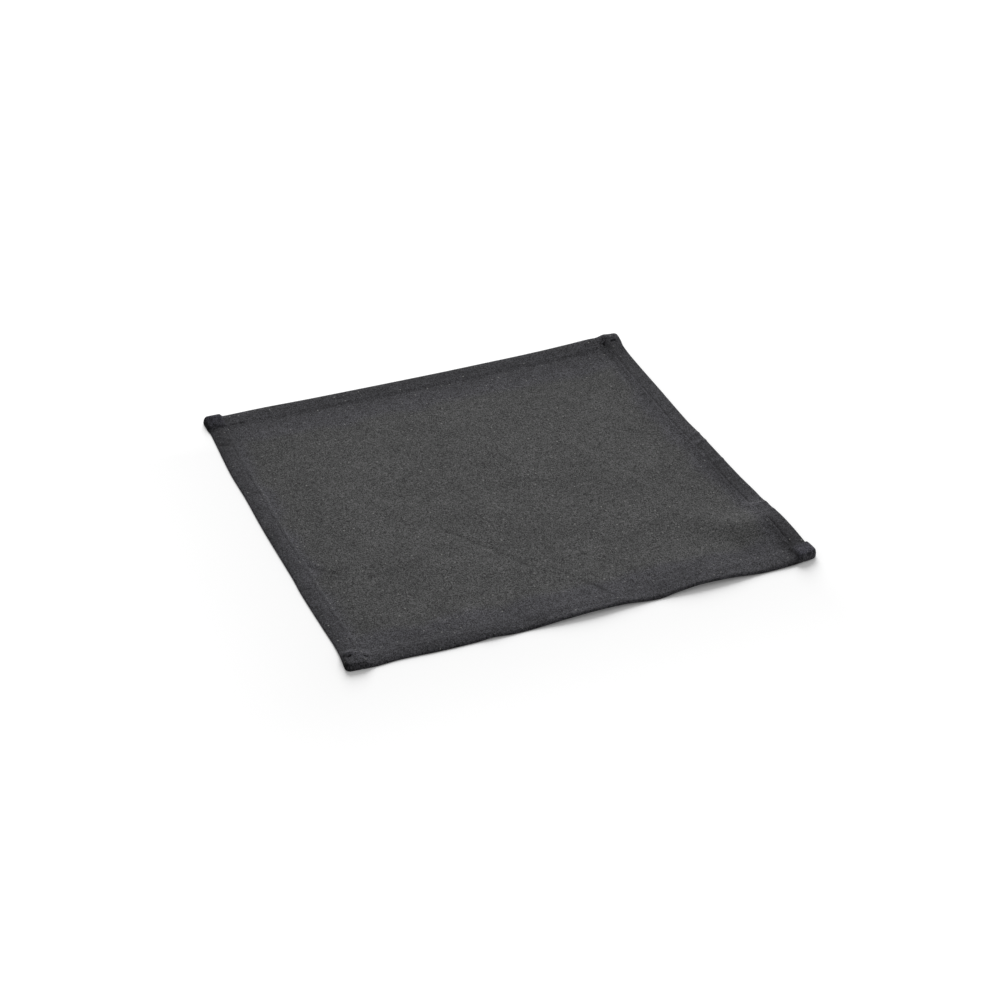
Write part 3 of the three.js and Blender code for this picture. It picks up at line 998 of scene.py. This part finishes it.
def buildClothMaterial(name, isFace):
    material, tree, shader = newMaterial(name)
    place = addNode(tree, "ShaderNodeUVMap", uv_map="clothPlace").outputs[0]
    yarns = useGroup(tree, plainWeave, {
        "Place": place, "Pitch": weave["pitch"] * mm, "Drift": weave["drift"],
        "Uneven": weave["uneven"], "Slubs": weave["slubs"], "Gap Painted Shade": weave["gap"],
        "Lumps": weave["lumps"],
    })
    mottle = useGroup(tree, washMottle, {"Place": place, "Amount": weave["mottle"]})

    # the washed face is dark in the band beside the hems, and the reverse all over
    colour = (*weave["darkColour"], 1)
    if isFace:
        colour = blend(tree, readAttribute(tree, "band"), (*weave["washedColour"], 1), colour)
    bluer = blend(tree, 1, colour, (*weave["dyeBlue"], 1), "MULTIPLY")
    colour = blend(tree, readAttribute(tree, "blue"), colour, bluer)
    toned = maths(tree, "MULTIPLY_ADD", readAttribute(tree, "tone"), -weave["toneRange"], 1)
    # the lines' painted shade darkens the colour, and their painted highlight lightens it
    paintedShading = maths(tree, "MULTIPLY_ADD", readAttribute(tree, "shade"), -weave["paintedShadeRange"], 1)
    woven = times(tree, yarns["Shade"], mottle["Shade"])
    wornAndPaintedShade = times(tree, woven, times(tree, toned, paintedShading))
    colour = blend(tree, 1, colour, wornAndPaintedShade, "MULTIPLY")
    for lint in lints:
        specks = useGroup(tree, lintSpecks, {
            "Place": place, "Spacing": lint["spacing"] * mm, "Size": lint["size"],
            "Share": lint["onFace"] if isFace else lint["onReverse"],
        })
        colour = blend(tree, specks["Mask"], colour, (*lint["colour"], 1))
    finishSurface(tree, shader, weave, colour, yarns["Height"])
    return material


def buildThreadMaterial():
    material, tree, shader = newMaterial("sewingThread")
    place = addNode(tree, "ShaderNodeTexCoord").outputs["Object"]
    mottle = useGroup(tree, washMottle, {"Place": place, "Amount": weave["mottle"]})
    twisted = {"Vector": place, "Scale": thread["plyGrain"], "Distortion": thread["plyUneven"]}
    plies = addNode(tree, "ShaderNodeTexWave", twisted, bands_direction="DIAGONAL").outputs["Fac"]
    # painted shade between the plies of the thread, lighter on their tops
    ply = maths(tree, "MULTIPLY_ADD", plies, thread["plyPaintedLight"], thread["plyPaintedShade"])
    wornAndPaintedShade = times(tree, mottle["Shade"], ply)
    colour = blend(tree, 1, (*thread["colour"], 1), wornAndPaintedShade, "MULTIPLY")
    finishSurface(tree, shader, thread, colour, plies)
    return material


print("finishes: weave, wash and lint")
plainWeave, washMottle, lintSpecks = buildPlainWeave(), buildMottle(), buildLint()
matCloth.data.materials.append(buildClothMaterial("washedFace", True))
matCloth.data.materials.append(buildClothMaterial("darkReverse", False))

print("seams: sewing the hems")
seamPoints, seamLinks = seamLines()
hemStitches = growPiece("hemStitches", seamPoints, seamLinks, buildStitchTree(), {
    "Pitch": seams["pitch"] * mm,
    "Stitch Size": (seams["length"] * mm, seams["thickness"] * mm, seams["thickness"] * mm),
    "Askew": math.radians(seams["askew"]),
    "Thread": buildThreadMaterial(),
})
print("seams:", countTriangles(hemStitches), "triangles")

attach(matCloth, "root")
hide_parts("mat_cloth")
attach(hemStitches, "root")

# The table glows a little, for the camera alone, so that it is white far off, with a painted soft shadow
# beside the mat and a painted contact shadow along the cloth.
# The daylight comes from behind, on the right.
studio = {
    "tableSize": 30,
    "tableColour": (0.8, 0.8, 0.8),
    "tableRoughness": 0.8,
    "farGlow": 0.62,
    "paintedShadowGlow": 0.2,  # beside the mat's left and front edges, where the lower glow paints a soft shadow
    "glowReach": 12,  # millimetres from the cloth within which it hides some of the glow, as a painted contact shadow
    "paintedContactShadow": 0.4,  # how much it hides there, how dark the painted contact shadow is
    "shadeReach": 0.7,  # metres from the mat at which the painted soft shadow ends and the glow is full
    "rightStart": 0.09,  # metres that it has gone already at the right edge
    "backStart": 0.2,  # and at the back edge
    "behindPace": 4,  # how much faster it goes on beyond those two
    "daylight": 0.3,  # even light from all round
    "windowStrength": 3.8,
    "windowSpread": 40,  # degrees across
    "windowFrom": (0.35, 1, 0.58),
    "cameraAt": (-0.6344, -1.5702, 1.1054),
    "lookAlong": (0.31390, 0.77346, -0.55066),
    "lens": 86.36,
    "sensor": 36,
}


def buildGlowWithPaintedShadows(tree):
    # painted contact shadow: the glow is partly hidden where the cloth is close
    openness = addNode(tree, "ShaderNodeAmbientOcclusion", {"Distance": studio["glowReach"] * mm}, samples=8)
    place = addNode(tree, "ShaderNodeTexCoord").outputs["Object"]
    split = addNode(tree, "ShaderNodeSeparateXYZ", {0: place})
    beyond = []
    for axis, size, start in (
        ("X", mat["width"], studio["rightStart"]),
        ("Y", mat["depth"], studio["backStart"]),
    ):
        # the painted soft shadow fades slowly out from the left and front edges, and at once from the right
        # and back ones
        half, along, pace = size * mm / 2, split.outputs[axis], studio["behindPace"]
        before = maths(tree, "MULTIPLY_ADD", along, -1, -half)
        behind = maths(tree, "MULTIPLY_ADD", along, pace, start - pace * half)
        outside = maths(tree, "MAXIMUM", maths(tree, "MAXIMUM", before, behind), 0)
        beyond.append(times(tree, outside, outside))
    # painted soft shadow: the glow is lower beside the mat's left and front edges and full at shadeReach
    around = addNode(tree, "ShaderNodeMapRange", {
        "Value": maths(tree, "SQRT", plus(tree, *beyond)),
        "From Max": studio["shadeReach"], "To Min": studio["paintedShadowGlow"], "To Max": studio["farGlow"],
    })
    unhidden = maths(tree, "POWER", openness.outputs["AO"], studio["paintedContactShadow"])
    return times(tree, unhidden, around.outputs[0])


def buildTable():
    half = studio["tableSize"] / 2
    corners = [(-half, -half, 0), (half, -half, 0), (half, half, 0), (-half, half, 0)]
    mesh = bpy.data.meshes.new("table")
    mesh.from_pydata(corners, [], [(0, 1, 2, 3)])
    material, tree, shader = newMaterial("paleTable")
    shader.inputs["Base Color"].default_value = (*studio["tableColour"], 1)
    shader.inputs["Roughness"].default_value = studio["tableRoughness"]
    shader.inputs["Emission Color"].default_value = (1, 1, 1, 1)
    isSeen = addNode(tree, "ShaderNodeLightPath").outputs["Is Camera Ray"]
    connect(tree, times(tree, buildGlowWithPaintedShadows(tree), isSeen), shader.inputs["Emission Strength"])
    mesh.materials.append(material)
    table = addObject("table", mesh)


def buildLight():
    world = bpy.data.worlds.new("daylight")
    world.use_nodes = True
    background = world.node_tree.nodes["Background"]
    background.inputs["Color"].default_value = (1, 1, 1, 1)
    background.inputs["Strength"].default_value = studio["daylight"]
    bpy.context.scene.world = world
    window = bpy.data.lights.new("window", "SUN")
    window.energy = studio["windowStrength"]
    window.angle = math.radians(studio["windowSpread"])
    lamp = addObject("window", window)
    lamp.rotation_euler = (-Vector(studio["windowFrom"])).to_track_quat("-Z", "Y").to_euler()


def buildCamera():
    lens = bpy.data.cameras.new("camera")
    lens.lens = studio["lens"]
    lens.sensor_width = studio["sensor"]
    lens.clip_end = 100
    camera = addObject("camera", lens)
    camera.location = studio["cameraAt"]
    camera.rotation_euler = Vector(studio["lookAlong"]).to_track_quat("-Z", "Y").to_euler()
    bpy.context.scene.camera = camera


print("studio: table, light and camera")
buildTable()
buildLight()
buildCamera()
bpy.context.scene.view_settings.view_transform = "Standard"
